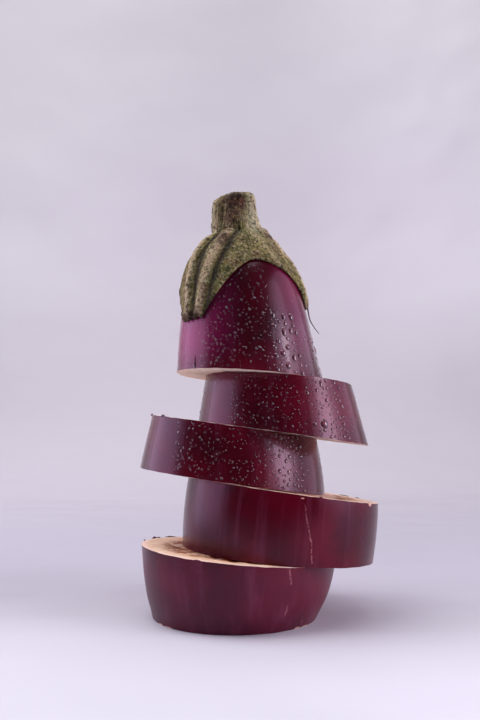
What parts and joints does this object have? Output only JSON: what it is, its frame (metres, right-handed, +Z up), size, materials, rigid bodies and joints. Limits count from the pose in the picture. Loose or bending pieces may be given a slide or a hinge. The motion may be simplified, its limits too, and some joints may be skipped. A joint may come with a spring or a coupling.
{
  "type": "sliced eggplant",
  "caption": "Eggplant cut across into pieces that stand stacked in a zigzag, with its calyx and stem on the top piece.",
  "frame": {"origin": "centre of the flat cut at the blossom end, which the stack stands on", "axes": "+Z up through the stack, -Y towards the front, where the widest notch of the calyx is, +X to the right"},
  "size_m": [0.0986, 0.0901, 0.174],
  "materials": {
    "skin": "gloss",
    "flesh": "matte",
    "calyx": "matte",
    "water": "gloss"
  },
  "bodies": {
    "root": {"blossom_end_piece": "skin", "lower_slice": "skin", "middle_slice": "skin", "upper_slice": "skin", "stem_end_piece": "skin", "calyx_and_stem": "calyx"}
  },
  "joints": []
}
